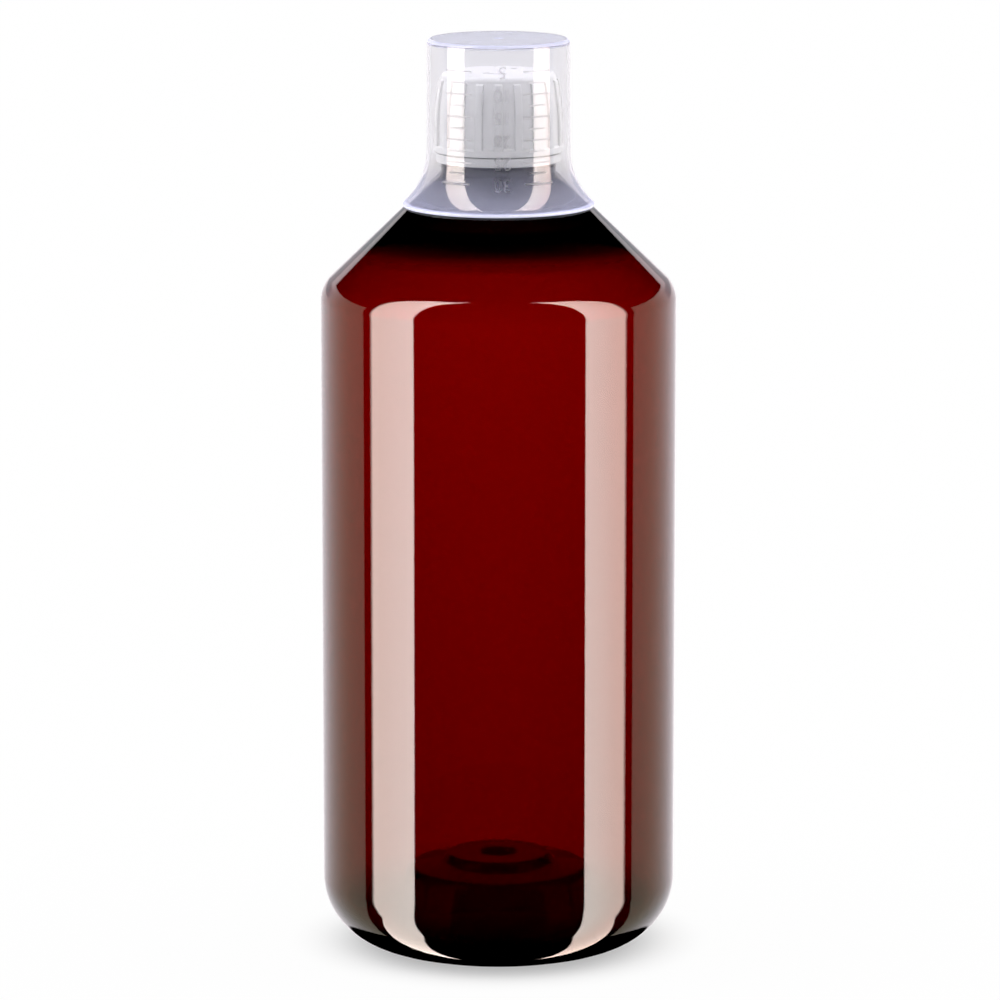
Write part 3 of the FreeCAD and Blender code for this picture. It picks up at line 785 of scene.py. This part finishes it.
def flat_number(number):
    """A number as a flat, thin mesh, centred on the origin."""
    curve = bpy.data.curves.new("number", "FONT")
    curve.body = str(number)
    curve.size = NUMBER_SIZE * MM
    curve.align_x = "CENTER"
    curve.align_y = "CENTER"
    curve.extrude = (MARK_DEPTH + MARK_SINK) * MM / 2
    curve.resolution_u = NUMBER_CURVE_STEPS
    holder = bpy.data.objects.new("number", curve)
    bpy.context.scene.collection.objects.link(holder)
    solved = holder.evaluated_get(bpy.context.evaluated_depsgraph_get())
    data = bpy.data.meshes.new_from_object(solved)
    mesh = bmesh.new()
    mesh.from_mesh(data)
    bpy.data.objects.remove(holder)
    bpy.data.curves.remove(curve)
    bpy.data.meshes.remove(data)
    return mesh


def scale_number(number, up, bearing_deg):
    """A raised number, upside down, bent round the cup."""
    mesh = flat_number(number)
    for point in mesh.verts:
        point_up = up - point.co.y / MM
        radius = cup_radius(point_up) + (MARK_DEPTH - MARK_SINK) / 2 + point.co.z / MM
        angle = math.radians(bearing_deg) - point.co.x / MM / radius
        point.co = Vector((radius * math.sin(angle), -radius * math.cos(angle), point_up)) * MM
    bmesh.ops.remove_doubles(mesh, verts=mesh.verts, dist=MERGE_DISTANCE)
    bmesh.ops.recalc_face_normals(mesh, faces=mesh.faces)
    return mesh


print("numbers are set at", NUMBER_SIZE, "mm")

# %% Scale on the cup
FULL_LINES = {5: 221.3, 10: 215.7, 15: 210.1, 20: 204.5, 25: 198.9, 30: 193.9}
HALF_LINES = (218.5, 212.9, 207.3, 201.7, 196.4)
FULL_WIDTH = 24
HALF_WIDTH = 14
LINE_BEARINGS = (-34, 32)
NUMBER_BEARING = 3

scale_mesh = bmesh.new()
for line_ups, width in ((FULL_LINES.values(), FULL_WIDTH), (HALF_LINES, HALF_WIDTH)):
    join(scale_mesh, [scale_line(up, side, width) for up in line_ups for side in LINE_BEARINGS])
numbers = [scale_number(number, up, NUMBER_BEARING) for number, up in FULL_LINES.items()]
join(scale_mesh, numbers)
finish_piece(scale_mesh, "cup_scale", "dosing_cup", mark_plastic)

# %% [markdown]
# The cap and its tamper band are white moulded plastic with a satin gloss. Fine noise in
# the colour and a shallow grain keep the surface from looking like an even paint.

# %% White plastic for cap and band
WHITE_LOW = (0.88, 0.88, 0.87, 1.0)
WHITE_HIGH = (0.92, 0.92, 0.91, 1.0)

white_plastic, white_tree, white_place = new_finish("white_plastic")
white_cloud = white_tree.add("ShaderNodeTexNoise", inputs={
    "Vector": white_place, "Scale": 140.0, "Detail": 4.0})
white_grain = white_tree.add("ShaderNodeTexNoise", inputs={
    "Vector": white_place, "Scale": 2500.0, "Detail": 2.0})
white_bump = white_tree.add("ShaderNodeBump", inputs={
    "Strength": 0.15, "Distance": 0.00005, "Height": white_grain})
white_shade = white_tree.add("ShaderNodeBsdfPrincipled", inputs={
    "Base Color": white_tree.blend(white_cloud, WHITE_LOW, WHITE_HIGH),
    "Roughness": 0.24 + white_cloud * 0.1,
    "IOR": 1.5,
    "Normal": white_bump,
})
white_tree.add("ShaderNodeOutputMaterial", inputs={"Surface": white_shade})
dress("tamper_band", white_plastic)

# %% [markdown]
# The cap's wall is spun like the rest: a pocket for the liner, a plain collar and a bowed
# outside. Each grip rib is a slice of another spin, with its edges rounded, and a spin
# that copies instead of joining sets twenty of them round the cap. Ribs and thread are
# sunk in the wall, as moulded ones grow out of it.

# %% Cap wall
WALL_BOW = 61.6
CAP_INSIDE = [
    (0, 218.2, 0), (13.4, 218.2, 0.1), (13.4, 215.4, 0), (14.0, 213.4, 0), (14.0, 200.4, 0),
    (14.4, 200.0, 0),
]
CAP_COLLAR = [(16.05, 200.0, 0.4), (16.05, 201.6, 0.2), (15.4, 202.1, 0.2)]
CAP_OUTSIDE = [(15.4, 206.0, 0, WALL_BOW), (14.2, 218.1, 0), (14.2, 219.5, 1.2), (0, 219.5, 0)]

cap_mesh = profile(CAP_INSIDE + CAP_COLLAR + CAP_OUTSIDE)
spin_round(cap_mesh)
print("cap wall has", len(cap_mesh.verts), "points")

# %% Grip ribs
RIB_COUNT = 20
RIB_ANGLE = math.radians(7.2)
RIB_STEPS = 2
RIB_BOW = 59.11
RIB_SECTION = [
    (15.0, 201.6, 0), (16.05, 201.6, 0), (16.05, 206.0, 0, RIB_BOW), (14.85, 217.85, 0),
    (13.8, 218.1, 0), (15.0, 206.0, 0),
]
RIB_ROOT = 14.3
RIB_ROUNDING = 0.25
RIB_ROUNDING_STEPS = 3

ribs = sweep_solid(RIB_SECTION, -RIB_ANGLE / 2, RIB_ANGLE, RIB_STEPS)
rib_edges = [
    edge for edge in ribs.edges
    if edge.calc_face_angle() > SHARP_ANGLE
    and min(end.co.x for end in edge.verts) > RIB_ROOT * MM
]
bmesh.ops.bevel(
    ribs, geom=rib_edges, offset=RIB_ROUNDING * MM, offset_type="OFFSET",
    segments=RIB_ROUNDING_STEPS, profile=0.5, affect="EDGES", material=-1, clamp_overlap=True)
bmesh.ops.spin(
    ribs, geom=ribs.verts[:] + ribs.edges[:] + ribs.faces[:], cent=(0, 0, 0), axis=(0, 0, 1),
    angle=math.tau * (RIB_COUNT - 1) / RIB_COUNT, steps=RIB_COUNT - 1, use_duplicate=True)
print(RIB_COUNT, "ribs with", len(ribs.faces), "faces")

# %% Screw cap put together
CAP_RIDGE = [(14.3, 202.35, 0), (14.3, 203.85, 0), (12.8, 203.45, 0), (12.8, 202.75, 0)]

join(cap_mesh, [thread(CAP_RIDGE), ribs])
cap = finish_piece(cap_mesh, "ribbed_cap", "screw_cap", white_plastic)
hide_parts("screw_cap")

# %% [markdown]
# The liner is a thin foam disc, seen only when the cap comes off. Small closed bubbles
# show at its cut edge and dimple its face, which a Voronoi pattern gives.

# %% Foam for the liner
BUBBLE_COLOUR = (0.86, 0.86, 0.84, 1.0)
SKIN_COLOUR = (0.94, 0.94, 0.92, 1.0)

foam, foam_tree, foam_place = new_finish("liner_foam")
foam_cells = foam_tree.add("ShaderNodeTexVoronoi", inputs={
    "Vector": foam_place, "Scale": 2200.0}, output="Distance")
foam_bump = foam_tree.add("ShaderNodeBump", inputs={
    "Strength": 0.4, "Distance": 0.0001, "Height": foam_cells})
foam_shade = foam_tree.add("ShaderNodeBsdfPrincipled", inputs={
    "Base Color": foam_tree.blend(foam_cells, BUBBLE_COLOUR, SKIN_COLOUR),
    "Roughness": 0.7,
    "Normal": foam_bump,
})
foam_tree.add("ShaderNodeOutputMaterial", inputs={"Surface": foam_shade})
dress("cap_liner", foam)
